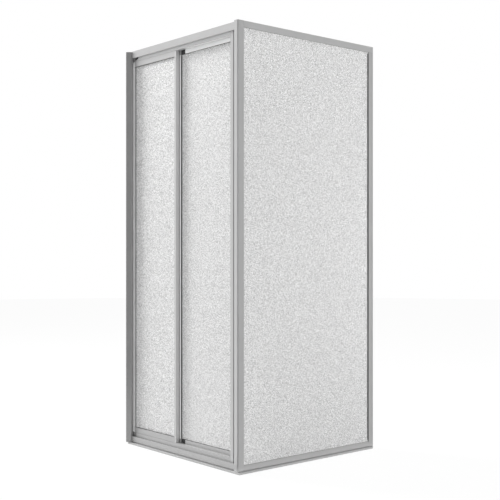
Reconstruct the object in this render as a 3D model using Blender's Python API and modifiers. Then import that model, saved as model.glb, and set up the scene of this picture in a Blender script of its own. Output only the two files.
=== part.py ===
# Corner shower enclosure in satin aluminium: a door front with one fixed and one sliding
# pane, and a fixed side panel at right angles to it. Lengths are metres, +Z is up.
# The door front faces -Y and the side panel faces +X. The room's walls stand at -X and +Y.
# Places in plan are given as t and n: t runs along the door front from the side panel's
# outer face towards the wall, and n runs inwards from the corner post's front face.

import math

import bmesh
import bpy
from mathutils import Matrix, Vector

# Overall sizes
HEIGHT = 1.850
DOOR_LENGTH = 0.810
SIDE_LENGTH = 0.810

# Sizes that all profiles share
SEAT_GAP = 0.0003
PROFILE_WALL = 0.0015
TRACK_WALL = 0.0016
EDGE_RADIUS = 0.0008
CORNER_STEPS = 3
ROUND_SIDES = 20
CUT_MARGIN = 0.002
MERGE_DISTANCE = 0.000001

# Glazing: a textured glass held in a rubber gasket in the grooves of the frame
GLASS_THICKNESS = 0.004
GASKET_WALL = 0.0014
GLASS_BITE = 0.0055
GASKET_SHOWING = 0.001

# Base strips, which lie on the shower tray and carry both fronts
STRIP_HEIGHT = 0.0085
STRIP_PROUD = 0.013
STRIP_WIDTH = 0.0375
STRIP_WALL = 0.0018
STRIP_SEAT_WALL = 0.0022
STRIP_NOSE_RADIUS = 0.0025
STRIP_END_BEVEL = 0.0145

# Corner post, with the groove for the side pane and a fin behind the door frame
POST_WIDTH = 0.0245
POST_DEPTH = 0.033
POST_NOSE_RADIUS = 0.006
POST_CAP_DEPTH = 0.012

# Side panel frame
SIDE_FRAME_DEPTH = 0.020
SIDE_GLASS_RECESS = 0.004
SIDE_TOP_RAIL_HEIGHT = 0.027
SIDE_BOTTOM_RAIL_HEIGHT = 0.023
SIDE_STILE_WIDTH = 0.019
STILE_TONGUE = 0.006

# Wall channel of the side panel
WALL_CHANNEL_REACH = 0.010
WALL_CHANNEL_WALL = 0.0014

# Wall profile of the door front, with its bevelled nose
NOSE_WIDTH = 0.016
NOSE_PROUD = 0.013
NOSE_BEVEL_DEPTH = 0.017
NOSE_SHADOW_GAP = 0.0055
WALL_PROFILE_DROP = 0.0047
WALL_PROFILE_FLANGE = 0.013

# Door frame: depth of its steps, and the two channels side by side behind them
FASCIA_SETBACK = 0.010
BAND_STEP = 0.010
FIXED_FRAME_DEPTH = 0.0174
FIXED_TO_DIVIDER = 0.0006
DIVIDER_WALL = 0.0012
LEAF_FRONT_CLEARANCE = 0.0013
LEAF_DEPTH = 0.017
LEAF_REAR_CLEARANCE = 0.0029

# Header track
HEADER_DROP = 0.002
FASCIA_HEIGHT = 0.0324
HEADER_BAND_HEIGHT = 0.0156
DIVIDER_TUCK = 0.003
LEDGE_RISE = 0.006
LEDGE_THICKNESS = 0.002
BEAD_RADIUS = 0.0012
BAND_END_GAP = 0.012
BAND_END_SLANT = 0.021

# Sill track
SILL_FACE_HEIGHT = 0.0278
SILL_BAND_HEIGHT = 0.0184
SILL_GUARD_HEIGHT = 0.0134
SILL_BAND_END_GAP = 0.005
SILL_REAR_FOOT = 0.010
SILL_FRONT_FOOT = 0.008
DRAIN_COUNT = 4
DRAIN_LENGTH = 0.014
DRAIN_HEIGHT = 0.004

# Cover strips, which close the front channels beside the sliding leaf
COVER_WALL = 0.0014
HEADER_COVER_LEG = 0.010

# Jambs of the door frame
WALL_JAMB_SHOWING = 0.008
CORNER_JAMB_WIDTH = 0.048
CORNER_REBATE_WIDTH = 0.0293
CORNER_REBATE_DEPTH = 0.006
JAMB_SEAT_DEPTH = 0.0005

# Fixed pane
FIXED_GLASS_RECESS = 0.0075
FIXED_PANE_SHOWING = 0.318
CENTRE_STILE_WIDTH = 0.012
FIXED_TOP_RAIL_HEIGHT = 0.0247
FIXED_BOTTOM_RAIL_HEIGHT = 0.0232
RAIL_TONGUE_HEIGHT = 0.009
RAIL_TONGUE_INSET = 0.0034
BRUSH_WIDTH = 0.006

# Sliding leaf
LEAF_LAP = 0.016
LEAF_STILE_WIDTH = 0.028
LEAF_GLASS_RECESS = 0.005
LEAF_TOP_RAIL_HEIGHT = 0.022
LEAF_BOTTOM_RAIL_HEIGHT = 0.0195
LEAF_FOOT_CLEARANCE = 0.003
LEAF_HEAD_CLEARANCE = 0.002
CLOSING_SEAL_DEPTH = 0.006
CLOSING_SEAL_WIDTH = 0.011
LEAF_MAGNET_DEPTH = 0.004

# Roller carriers, the black corner blocks of the leaf, with their rollers
CARRIER_WIDTH = 0.030
CARRIER_TONGUE = 0.020
CARRIER_ARM_INSET = 0.001
CARRIER_ARM_MARGIN = 0.003
CARRIER_ARM_RADIUS = 0.0046
AXLE_RADIUS = 0.002
AXLE_CLEARANCE = 0.00012
AXLE_HEAD_RADIUS = 0.0034
AXLE_HEAD_THICKNESS = 0.0013
AXLE_HEAD_ROOM = 0.0034
ROLLER_WIDTH = 0.007
ROLLER_RADIUS = 0.009
GUIDE_ROLLER_RADIUS = 0.0062
ROLLER_GROOVE_FLOOR = 0.0012
ROLLER_GROOVE_MOUTH = 0.004

# Rubber buffers that stop the leaf in the wall jamb
BUFFER_RADIUS = 0.005
BUFFER_DEPTH = 0.004
BUFFER_INSET = 0.120

# Screws
SCREW_HEAD_RADIUS = 0.0036
SCREW_HEAD_HEIGHT = 0.0020
SCREW_SHANK_RADIUS = 0.0016
SCREW_CLEARANCE = 0.0004
SCREW_END_INSET = 0.150
NOSE_SCREW_HEAD_RADIUS = 0.0022
NOSE_SCREW_DEPTH = 0.006
NOSE_SCREW_OFFSET = 0.003

# Places in plan and in height that follow from the sizes above
SIDE_FACE_X = (DOOR_LENGTH - STRIP_PROUD) / 2
POST_FRONT_Y = (NOSE_PROUD - SIDE_LENGTH) / 2

GASKET_SEAT = GASKET_WALL + 2 * SEAT_GAP
GROOVE_WIDTH = GLASS_THICKNESS + 2 * GASKET_SEAT
GROOVE_DEPTH = GLASS_BITE + GASKET_SEAT

BAND_N = FASCIA_SETBACK + BAND_STEP
FIXED_BACK_N = BAND_N + FIXED_FRAME_DEPTH
DIVIDER_N = FIXED_BACK_N + FIXED_TO_DIVIDER
DIVIDER_BACK_N = DIVIDER_N + DIVIDER_WALL
LEAF_N = DIVIDER_BACK_N + LEAF_FRONT_CLEARANCE
LEAF_BACK_N = LEAF_N + LEAF_DEPTH
TRACK_INNER_N = LEAF_BACK_N + LEAF_REAR_CLEARANCE
TRACK_BACK_N = TRACK_INNER_N + TRACK_WALL
JAMB_BACK_N = TRACK_BACK_N - TRACK_WALL / 2

TRACK_START_T = POST_WIDTH + SEAT_GAP
CORNER_JAMB_T = TRACK_START_T + CORNER_JAMB_WIDTH
NOSE_T = DOOR_LENGTH - NOSE_WIDTH
TRACK_END_T = NOSE_T - SEAT_GAP
WALL_JAMB_T = NOSE_T - WALL_JAMB_SHOWING
WALL_JAMB_BACK_T = DOOR_LENGTH - PROFILE_WALL - SEAT_GAP
CENTRE_STILE_T = WALL_JAMB_T - FIXED_PANE_SHOWING - CENTRE_STILE_WIDTH
FIXED_RAIL_START_T = CENTRE_STILE_T + CENTRE_STILE_WIDTH + SEAT_GAP
FIXED_RAIL_END_T = WALL_JAMB_T - SEAT_GAP

BASE_Z = STRIP_HEIGHT + SEAT_GAP
SILL_FACE_Z = BASE_Z + SILL_FACE_HEIGHT
SILL_BAND_Z = SILL_FACE_Z + SILL_BAND_HEIGHT
SILL_GUARD_Z = SILL_FACE_Z + SILL_GUARD_HEIGHT
HEADER_TOP_Z = HEIGHT - HEADER_DROP
FASCIA_Z = HEADER_TOP_Z - FASCIA_HEIGHT
HEADER_BAND_Z = FASCIA_Z - HEADER_BAND_HEIGHT
LEDGE_Z = HEADER_BAND_Z + LEDGE_RISE
LEDGE_TOP_Z = LEDGE_Z + LEDGE_THICKNESS
LEAF_BOTTOM_Z = SILL_GUARD_Z + LEAF_FOOT_CLEARANCE
LEAF_TOP_Z = LEDGE_Z - LEAF_HEAD_CLEARANCE

LEAF_LEAD_T = TRACK_START_T + CLOSING_SEAL_DEPTH + LEAF_MAGNET_DEPTH + 2 * SEAT_GAP
LEAF_TRAIL_T = CENTRE_STILE_T + LEAF_LAP
FRONT_CARRIER_T = LEAF_LEAD_T + LEAF_STILE_WIDTH
REAR_CARRIER_T = LEAF_TRAIL_T - LEAF_STILE_WIDTH - CARRIER_WIDTH

ROLLER_BACK_N = TRACK_INNER_N - AXLE_HEAD_ROOM
ROLLER_FRONT_N = ROLLER_BACK_N - ROLLER_WIDTH
BEAD_N = (ROLLER_FRONT_N + ROLLER_BACK_N) / 2
ROLLER_Z = LEDGE_TOP_Z + BEAD_RADIUS + SEAT_GAP + ROLLER_RADIUS
GUIDE_ROLLER_Z = SILL_FACE_Z + BEAD_RADIUS + SEAT_GAP + GUIDE_ROLLER_RADIUS

SIDE_CHANNEL_N = SIDE_LENGTH - WALL_CHANNEL_REACH
SIDE_STILE_N = SIDE_CHANNEL_N - SIDE_STILE_WIDTH


# Scene, collections and materials

for old in list(bpy.data.objects):
    bpy.data.objects.remove(old, do_unlink=True)

PARTS = bpy.data.collections.new("Shower enclosure")
bpy.context.scene.collection.children.link(PARTS)
CUTTERS = bpy.data.collections.new("Cutters and joining shapes")
CUTTERS.hide_render = True
bpy.context.scene.collection.children.link(CUTTERS)


def new_material(name, colour, roughness, metallic=0.0, alpha=1.0):
    material = bpy.data.materials.new(name)
    material.use_nodes = True
    shader = material.node_tree.nodes["Principled BSDF"]
    shader.inputs["Base Color"].default_value = (*colour, 1.0)
    shader.inputs["Roughness"].default_value = roughness
    shader.inputs["Metallic"].default_value = metallic
    shader.inputs["Alpha"].default_value = alpha
    return material


ALUMINIUM = new_material("Satin anodised aluminium", (0.62, 0.62, 0.63), 0.35, 1.0)
GLASS = new_material("Textured safety glass", (0.84, 0.86, 0.87), 0.4, alpha=0.75)
RUBBER = new_material("Dark grey rubber", (0.06, 0.06, 0.065), 0.7)
BLACK_PLASTIC = new_material("Black moulded nylon", (0.02, 0.02, 0.022), 0.45)
GREY_PLASTIC = new_material("Grey moulded plastic", (0.45, 0.46, 0.47), 0.5)
STEEL = new_material("Stainless steel", (0.55, 0.55, 0.56), 0.3, 1.0)
BRUSH = new_material("Grey brush pile", (0.30, 0.30, 0.31), 0.9)


# Outlines

def rounded(corners):
    """Outline whose corners (u, v, radius) are turned into arcs."""
    points = []
    for index, (u, v, radius) in enumerate(corners):
        here = Vector((u, v))
        before = Vector(corners[index - 1][:2]) - here
        after = Vector(corners[(index + 1) % len(corners)][:2]) - here
        if not radius:
            points.append(here)
            continue
        half = before.angle(after) / 2
        reach = min(radius / math.tan(half), before.length / 3, after.length / 3)
        start = before.normalized() * reach
        end = after.normalized() * reach
        middle = (start + end).normalized() * reach / math.cos(half)
        for step in range(CORNER_STEPS + 1):
            spoke = (start - middle).lerp(end - middle, step / CORNER_STEPS)
            points.append(here + middle + spoke.normalized() * reach * math.tan(half))
    return points


def arc(centre_u, centre_v, radius, first, last, steps):
    """Points of an arc, from the angle first to the angle last in degrees."""
    points = []
    for step in range(steps + 1):
        angle = math.radians(first + (last - first) * step / steps)
        points.append((centre_u + radius * math.cos(angle), centre_v + radius * math.sin(angle)))
    return points


def inset(corners, wall):
    """The outline moved inwards by one wall, for a hollow profile's chamber."""
    points = [Vector(corner[:2]) for corner in corners]
    turn = 1 if signed_area(points) > 0 else -1
    moved = []
    for index, here in enumerate(points):
        into = (here - points[index - 1]).normalized()
        out = (points[(index + 1) % len(points)] - here).normalized()
        normal_in = Vector((-into.y, into.x)) * turn
        normal_out = Vector((-out.y, out.x)) * turn
        middle = (normal_in + normal_out).normalized()
        moved.append(here + middle * wall / middle.dot(normal_in))
    return moved


def signed_area(points):
    total = 0
    for index, (u, v) in enumerate(points):
        total += points[index - 1][0] * v - u * points[index - 1][1]
    return total / 2


def rectangle(low_u, low_v, high_u, high_v):
    return [(low_u, low_v), (high_u, low_v), (high_u, high_v), (low_u, high_v)]


def glazing_bar(depth, width, recess, chambered=True):
    """Section of a bar that holds a pane: u runs from its outer face through its depth, and
    v runs from its edge at the pane, where the groove opens. Gives its outlines."""
    lip = recess - GASKET_SEAT
    back_lip = lip + GROOVE_WIDTH
    outer = rounded([
        (0, 0, EDGE_RADIUS), (lip, 0, 0), (lip, GROOVE_DEPTH, 0), (back_lip, GROOVE_DEPTH, 0),
        (back_lip, 0, 0), (depth, 0, EDGE_RADIUS), (depth, width, EDGE_RADIUS), (0, width, EDGE_RADIUS),
    ])
    if not chambered:
        return [outer]
    return [outer, bar_chamber(depth, width)]


def bar_chamber(depth, width):
    return rectangle(
        PROFILE_WALL, GROOVE_DEPTH + PROFILE_WALL, depth - PROFILE_WALL, width - PROFILE_WALL
    )


def placed(outlines, place):
    """Each outline with place(u, v) applied to its points."""
    return [[place(u, v) for u, v in outline] for outline in outlines]


# Solids

def add_piece(name, data, material, collection=PARTS):
    piece = bpy.data.objects.new(name, data)
    collection.objects.link(piece)
    data.materials.append(material)
    return piece


def extrusion(name, outlines, run, material, collection=PARTS):
    """A flat outline, with any holes after it, extruded along local Z about its middle."""
    curve = bpy.data.curves.new(name, "CURVE")
    curve.dimensions = "2D"
    curve.fill_mode = "BOTH"
    curve.extrude = run / 2
    for index, outline in enumerate(outlines):
        points = list(outline)
        if (signed_area(points) > 0) != (index == 0):
            points.reverse()
        spline = curve.splines.new("POLY")
        spline.points.add(len(points) - 1)
        for control, (u, v) in zip(spline.points, points):
            control.co = (u, v, 0, 1)
        spline.use_cyclic_u = True
    return add_piece(name, curve, material, collection)


def upright(name, outlines, low, high, material, collection=PARTS):
    """A profile that stands between the heights low and high, its section in t and n."""
    flipped = placed(outlines, lambda t, n: (-t, n))
    piece = extrusion(name, flipped, high - low, material, collection)
    piece.location = (SIDE_FACE_X, POST_FRONT_Y, (low + high) / 2)
    return piece


def door_bar(name, outlines, start_t, end_t, material, collection=PARTS):
    """A profile along the door front, its section in n and z."""
    piece = extrusion(name, outlines, end_t - start_t, material, collection)
    piece.rotation_euler = (math.radians(90), 0, math.radians(90))
    piece.location = (SIDE_FACE_X - (start_t + end_t) / 2, POST_FRONT_Y, 0)
    return piece


def side_bar(name, outlines, start_n, end_n, material, collection=PARTS):
    """A profile along the side panel, its section in t and z."""
    flipped = placed(outlines, lambda t, z: (-t, z))
    piece = extrusion(name, flipped, end_n - start_n, material, collection)
    piece.rotation_euler = (math.radians(90), 0, 0)
    piece.location = (SIDE_FACE_X, POST_FRONT_Y + (start_n + end_n) / 2, 0)
    return piece


def front_plate(name, outline, start_n, end_n, material, collection=PARTS):
    """A plate that faces the door front, its outline in t and z."""
    return side_bar(name, [outline], start_n, end_n, material, collection)


def block(name, low, high, material, collection=PARTS):
    """A box between two corners, each given as (t, n, z)."""
    mesh = bpy.data.meshes.new(name)
    shape = bmesh.new()
    bmesh.ops.create_cube(shape, size=1)
    size = [abs(b - a) for a, b in zip(low, high)]
    bmesh.ops.scale(shape, vec=size, verts=shape.verts)
    shape.to_mesh(mesh)
    shape.free()
    piece = add_piece(name, mesh, material, collection)
    t, n, z = ((a + b) / 2 for a, b in zip(low, high))
    piece.location = (SIDE_FACE_X - t, POST_FRONT_Y + n, z)
    return piece


def turned(name, profile, ring, material, collection=PARTS):
    """A turned solid about local Z. The profile (radius, z) runs down its outer side."""
    mesh = bpy.data.meshes.new(name)
    last = len(profile) - 1
    edges = [(index, index + 1) for index in range(last)]
    if ring:
        edges.append((last, 0))
    mesh.from_pydata([(radius, 0, z) for radius, z in profile], edges, [])
    piece = add_piece(name, mesh, material, collection)
    spin = piece.modifiers.new("Turn", "SCREW")
    spin.steps = ROUND_SIDES
    spin.render_steps = ROUND_SIDES
    spin.use_merge_vertices = True
    spin.merge_threshold = MERGE_DISTANCE
    return piece


def cylinder(name, radius, low, high, material, collection=PARTS):
    """A turned pin about local Z, between two heights."""
    return turned(name, [(0, high), (radius, high), (radius, low), (0, low)], False, material, collection)


def point_inwards(piece, t, n, z):
    """Puts a turned piece at (t, n, z) with its local Z along n."""
    piece.rotation_euler = (math.radians(-90), 0, 0)
    piece.location = (SIDE_FACE_X - t, POST_FRONT_Y + n, z)


def point_along_t(piece, t, n, z, towards_wall):
    """Puts a turned piece at (t, n, z) with its local Z along t, or against it."""
    piece.rotation_euler = (0, math.radians(-90 if towards_wall else 90), 0)
    piece.location = (SIDE_FACE_X - t, POST_FRONT_Y + n, z)


def as_mesh(piece):
    """The piece as one closed mesh, so that it can be cut, joined or used as a cutter."""
    bpy.context.view_layer.update()
    graph = bpy.context.evaluated_depsgraph_get()
    mesh = bpy.data.meshes.new_from_object(piece.evaluated_get(graph))
    shape = bmesh.new()
    shape.from_mesh(mesh)
    bmesh.ops.remove_doubles(shape, verts=shape.verts, dist=MERGE_DISTANCE)
    bmesh.ops.recalc_face_normals(shape, faces=shape.faces)
    shape.to_mesh(mesh)
    shape.free()
    name = piece.name
    collection = piece.users_collection[0]
    place = piece.matrix_world.copy()
    bpy.data.objects.remove(piece)
    solid = bpy.data.objects.new(name, mesh)
    collection.objects.link(solid)
    solid.matrix_world = place
    return solid


def combine(piece, tool, operation):
    tool.display_type = "WIRE"
    tool.hide_render = True
    boolean = piece.modifiers.new(f"{operation.title()} {tool.name}", "BOOLEAN")
    boolean.operation = operation
    boolean.solver = "EXACT"
    boolean.object = tool


def cut(piece, *tools):
    for tool in tools:
        combine(piece, tool, "DIFFERENCE")


def join(piece, *tools):
    for tool in tools:
        combine(piece, tool, "UNION")


def cutting(make, name, *sizes):
    """A cutter or joining shape, made by one of the functions above and kept out of the parts."""
    return as_mesh(make(name, *sizes, ALUMINIUM, CUTTERS))


def gathered(name, tools):
    """Cutters that lie apart as one cutter, so that a piece is cut once."""
    shape = bmesh.new()
    bpy.context.view_layer.update()
    for tool in tools:
        mesh = tool.data.copy()
        mesh.transform(tool.matrix_world)
        shape.from_mesh(mesh)
        bpy.data.objects.remove(tool)
    mesh = bpy.data.meshes.new(name)
    shape.to_mesh(mesh)
    shape.free()
    return add_piece(name, mesh, ALUMINIUM, CUTTERS)


# Base strips with a mitre at the corner

def strip_outlines():
    outer = rounded([
        (-STRIP_PROUD, 0, EDGE_RADIUS), (STRIP_WIDTH - STRIP_PROUD, 0, EDGE_RADIUS),
        (STRIP_WIDTH - STRIP_PROUD, STRIP_HEIGHT, EDGE_RADIUS),
        (-STRIP_PROUD, STRIP_HEIGHT, STRIP_NOSE_RADIUS),
    ])
    middle = STRIP_WIDTH / 2 - STRIP_PROUD
    front = rectangle(
        STRIP_WALL - STRIP_PROUD, STRIP_WALL, middle - STRIP_WALL / 2, STRIP_HEIGHT - STRIP_WALL
    )
    back = rectangle(
        middle + STRIP_WALL / 2, STRIP_SEAT_WALL, STRIP_WIDTH - STRIP_PROUD - STRIP_WALL,
        STRIP_HEIGHT - STRIP_SEAT_WALL,
    )
    return [outer, front, back]


def make_base_strips():
    door_front = FASCIA_SETBACK
    door = as_mesh(door_bar(
        "door_base_strip", placed(strip_outlines(), lambda u, v: (u + door_front, v)),
        -STRIP_PROUD, DOOR_LENGTH, ALUMINIUM,
    ))
    side = as_mesh(side_bar(
        "side_base_strip", strip_outlines(), door_front - STRIP_PROUD, SIDE_LENGTH, ALUMINIUM
    ))
    # The mitre runs at 45 degrees through the outer corner, and each strip stops short of it.
    corner_t = -STRIP_PROUD
    corner_n = door_front - STRIP_PROUD
    reach = STRIP_WIDTH + CUT_MARGIN
    for strip, sign in ((door, 1), (side, -1)):
        set_back = sign * SEAT_GAP / 2
        near = (corner_t - CUT_MARGIN + set_back, corner_n - CUT_MARGIN)
        far = (corner_t + reach + set_back, corner_n + reach)
        outer = (near[0], far[1]) if sign > 0 else (far[0], near[1])
        waste = cutting(
            upright, f"mitre of {strip.name}", [[near, far, outer]], -CUT_MARGIN,
            STRIP_HEIGHT + CUT_MARGIN,
        )
        cut(strip, waste)
    # The side strip's end at the wall is bevelled back to the panel's face.
    bevel_n = SIDE_LENGTH - STRIP_END_BEVEL
    bevel = [
        (-STRIP_PROUD - CUT_MARGIN, bevel_n - CUT_MARGIN),
        (-STRIP_PROUD + STRIP_END_BEVEL + CUT_MARGIN, SIDE_LENGTH + CUT_MARGIN),
        (-STRIP_PROUD - CUT_MARGIN, SIDE_LENGTH + CUT_MARGIN),
    ]
    waste = cutting(
        upright, "bevel of side_base_strip", [bevel], -CUT_MARGIN, STRIP_HEIGHT + CUT_MARGIN
    )
    cut(side, waste)


# Corner post: one hollow extrusion with a groove for the side pane and a fin for the door frame

def post_chamber():
    return inset([
        (0, POST_NOSE_RADIUS), (POST_NOSE_RADIUS, 0), (POST_WIDTH, 0), (POST_WIDTH, POST_DEPTH),
        (SIDE_GLASS_RECESS - GASKET_SEAT + GROOVE_WIDTH, POST_DEPTH),
        (SIDE_GLASS_RECESS - GASKET_SEAT + GROOVE_WIDTH, POST_DEPTH - GROOVE_DEPTH),
        (0, POST_DEPTH - GROOVE_DEPTH),
    ], PROFILE_WALL)


def make_corner_post():
    lip = SIDE_GLASS_RECESS - GASKET_SEAT
    back_lip = lip + GROOVE_WIDTH
    outer = rounded([
        (0, 0, POST_NOSE_RADIUS), (POST_WIDTH, 0, EDGE_RADIUS), (POST_WIDTH, JAMB_BACK_N, 0),
        (POST_WIDTH - PROFILE_WALL, JAMB_BACK_N, 0), (POST_WIDTH - PROFILE_WALL, POST_DEPTH, 0),
        (back_lip, POST_DEPTH, 0), (back_lip, POST_DEPTH - GROOVE_DEPTH, 0),
        (lip, POST_DEPTH - GROOVE_DEPTH, 0), (lip, POST_DEPTH, 0), (0, POST_DEPTH, EDGE_RADIUS),
    ])
    upright("corner_post", [outer, post_chamber()], BASE_Z, HEIGHT, ALUMINIUM)
    plug = inset(post_chamber(), SEAT_GAP)
    upright("corner_post_cap", [plug], HEIGHT - POST_CAP_DEPTH, HEIGHT, GREY_PLASTIC)


# Side panel: post groove, two rails and a wall stile round the pane

def side_frame_edges():
    """Inner edges of the side frame: start and end in n, bottom and top in z."""
    return (
        POST_DEPTH, SIDE_STILE_N, BASE_Z + SIDE_BOTTOM_RAIL_HEIGHT, HEIGHT - SIDE_TOP_RAIL_HEIGHT
    )


def make_side_frame():
    start_n, end_n, low_z, high_z = side_frame_edges()
    top = glazing_bar(SIDE_FRAME_DEPTH, SIDE_TOP_RAIL_HEIGHT, SIDE_GLASS_RECESS)
    side_bar(
        "side_top_rail", placed(top, lambda u, v: (u, high_z + v)), start_n + SEAT_GAP, SIDE_LENGTH,
        ALUMINIUM,
    )
    bottom = glazing_bar(SIDE_FRAME_DEPTH, SIDE_BOTTOM_RAIL_HEIGHT, SIDE_GLASS_RECESS)
    side_bar(
        "side_bottom_rail", placed(bottom, lambda u, v: (u, low_z - v)), start_n + SEAT_GAP,
        end_n - SEAT_GAP, ALUMINIUM,
    )
    lip = SIDE_GLASS_RECESS - GASKET_SEAT
    back_lip = lip + GROOVE_WIDTH
    shoulder_n = SIDE_CHANNEL_N - SEAT_GAP
    tongue_n = shoulder_n + STILE_TONGUE
    tongue_inset = WALL_CHANNEL_WALL + SEAT_GAP
    stile = rounded([
        (0, end_n, EDGE_RADIUS), (lip, end_n, 0), (lip, end_n + GROOVE_DEPTH, 0),
        (back_lip, end_n + GROOVE_DEPTH, 0), (back_lip, end_n, 0),
        (SIDE_FRAME_DEPTH, end_n, EDGE_RADIUS), (SIDE_FRAME_DEPTH, shoulder_n, 0),
        (SIDE_FRAME_DEPTH - tongue_inset, shoulder_n, 0),
        (SIDE_FRAME_DEPTH - tongue_inset, tongue_n, 0), (tongue_inset, tongue_n, 0),
        (tongue_inset, shoulder_n, 0), (0, shoulder_n, 0),
    ])
    chamber = rectangle(
        tongue_inset + PROFILE_WALL, end_n + GROOVE_DEPTH + PROFILE_WALL,
        SIDE_FRAME_DEPTH - tongue_inset - PROFILE_WALL, tongue_n - PROFILE_WALL,
    )
    return as_mesh(upright(
        "side_wall_stile", [stile, chamber], BASE_Z, high_z - SEAT_GAP, ALUMINIUM
    ))


def make_side_wall_channel():
    top_z = side_frame_edges()[3] - SEAT_GAP
    web_n = SIDE_LENGTH - WALL_CHANNEL_WALL
    outline = rounded([
        (0, SIDE_CHANNEL_N, EDGE_RADIUS / 2), (WALL_CHANNEL_WALL, SIDE_CHANNEL_N, 0),
        (WALL_CHANNEL_WALL, web_n, 0), (SIDE_FRAME_DEPTH - WALL_CHANNEL_WALL, web_n, 0),
        (SIDE_FRAME_DEPTH - WALL_CHANNEL_WALL, SIDE_CHANNEL_N, 0),
        (SIDE_FRAME_DEPTH, SIDE_CHANNEL_N, EDGE_RADIUS / 2), (SIDE_FRAME_DEPTH, SIDE_LENGTH, 0),
        (0, SIDE_LENGTH, 0),
    ])
    return as_mesh(upright("side_wall_channel", [outline], BASE_Z, top_z, ALUMINIUM))


# A pane of glass and the gasket round its edge. Each corner is (t, n, z), and along is the axis, t or n,
# that the pane runs in.

def make_pane(names, along, face, start, end, low_z, high_z):
    """The glass between the frame's inner edges start, end, low_z and high_z, and its gasket."""
    def corner(run, deep, z):
        return (deep, run, z) if along == "n" else (run, deep, z)

    back = face + GLASS_THICKNESS
    glass = block(
        names[0], corner(start - GLASS_BITE, face, low_z - GLASS_BITE),
        corner(end + GLASS_BITE, back, high_z + GLASS_BITE), GLASS,
    )
    reach = GROOVE_DEPTH - SEAT_GAP
    wrap = GASKET_WALL + SEAT_GAP
    gasket = block(
        names[1], corner(start - reach, face - wrap, low_z - reach),
        corner(end + reach, back + wrap, high_z + reach), RUBBER,
    )
    window = cutting(
        block, f"window of {names[1]}",
        corner(start + GASKET_SHOWING, face - wrap - CUT_MARGIN, low_z + GASKET_SHOWING),
        corner(end - GASKET_SHOWING, back + wrap + CUT_MARGIN, high_z - GASKET_SHOWING),
    )
    bed = GLASS_BITE + SEAT_GAP
    slot = cutting(
        block, f"glass slot of {names[1]}", corner(start - bed, face - SEAT_GAP, low_z - bed),
        corner(end + bed, back + SEAT_GAP, high_z + bed),
    )
    cut(gasket, window, slot)
    return glass, gasket


# Wall profile of the door front: a bevelled hollow nose, a web on the wall and a rear flange

def make_door_wall_profile():
    nose_back_n = BAND_N - NOSE_SHADOW_GAP
    flange_n = JAMB_BACK_N + SEAT_GAP
    web_t = DOOR_LENGTH - PROFILE_WALL
    nose = [
        (DOOR_LENGTH, -NOSE_PROUD), (NOSE_T, NOSE_BEVEL_DEPTH - NOSE_PROUD), (NOSE_T, nose_back_n),
        (DOOR_LENGTH, nose_back_n),
    ]
    outline = rounded([
        (*nose[0], 0), (*nose[1], EDGE_RADIUS), (*nose[2], EDGE_RADIUS / 2),
        (web_t, nose_back_n, 0), (web_t, flange_n, 0),
        (DOOR_LENGTH - WALL_PROFILE_FLANGE, flange_n, 0),
        (DOOR_LENGTH - WALL_PROFILE_FLANGE, flange_n + PROFILE_WALL, 0),
        (DOOR_LENGTH, flange_n + PROFILE_WALL, 0),
    ])
    return as_mesh(upright(
        "door_wall_profile", [outline, inset(nose, PROFILE_WALL)], BASE_Z, HEIGHT - WALL_PROFILE_DROP,
        ALUMINIUM,
    ))


# Jambs. The wall jamb holds the fixed pane in its front box, and the leaf slides into the pocket
# behind that box. The corner jamb is a plain tube between the two tracks.

def make_wall_jamb():
    groove_n = BAND_N + FIXED_GLASS_RECESS - GASKET_SEAT
    groove_t = WALL_JAMB_T + GROOVE_DEPTH
    inner_t = WALL_JAMB_BACK_T - PROFILE_WALL
    outline = rounded([
        (WALL_JAMB_T, BAND_N, EDGE_RADIUS), (WALL_JAMB_T, groove_n, 0), (groove_t, groove_n, 0),
        (groove_t, groove_n + GROOVE_WIDTH, 0), (WALL_JAMB_T, groove_n + GROOVE_WIDTH, 0),
        (WALL_JAMB_T, DIVIDER_N, EDGE_RADIUS / 2), (inner_t, DIVIDER_N, 0),
        (inner_t, JAMB_BACK_N - PROFILE_WALL, 0), (WALL_JAMB_T, JAMB_BACK_N - PROFILE_WALL, 0),
        (WALL_JAMB_T, JAMB_BACK_N, 0), (WALL_JAMB_BACK_T, JAMB_BACK_N, 0),
        (WALL_JAMB_BACK_T, BAND_N, 0),
    ])
    chamber = rectangle(
        groove_t + PROFILE_WALL, BAND_N + PROFILE_WALL, inner_t, DIVIDER_N - PROFILE_WALL
    )
    return as_mesh(upright(
        "door_wall_jamb", [outline, chamber], BASE_Z, HEADER_TOP_Z, ALUMINIUM
    ))


def make_corner_jamb():
    """A tube whose face steps back beside the corner post."""
    step_t = TRACK_START_T + CORNER_REBATE_WIDTH
    step_n = BAND_N + CORNER_REBATE_DEPTH
    corners = [
        (TRACK_START_T, step_n), (step_t, step_n), (step_t, BAND_N), (CORNER_JAMB_T, BAND_N),
        (CORNER_JAMB_T, DIVIDER_BACK_N), (TRACK_START_T, DIVIDER_BACK_N),
    ]
    outline = rounded([(*corner, EDGE_RADIUS) for corner in corners])
    upright(
        "door_corner_jamb", [outline, inset(corners, PROFILE_WALL)],
        SILL_FACE_Z - JAMB_SEAT_DEPTH + SEAT_GAP, FASCIA_Z - SEAT_GAP, ALUMINIUM,
    )


# Tracks: open sections with two channels, whose front face laps over the jambs at both ends

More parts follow.
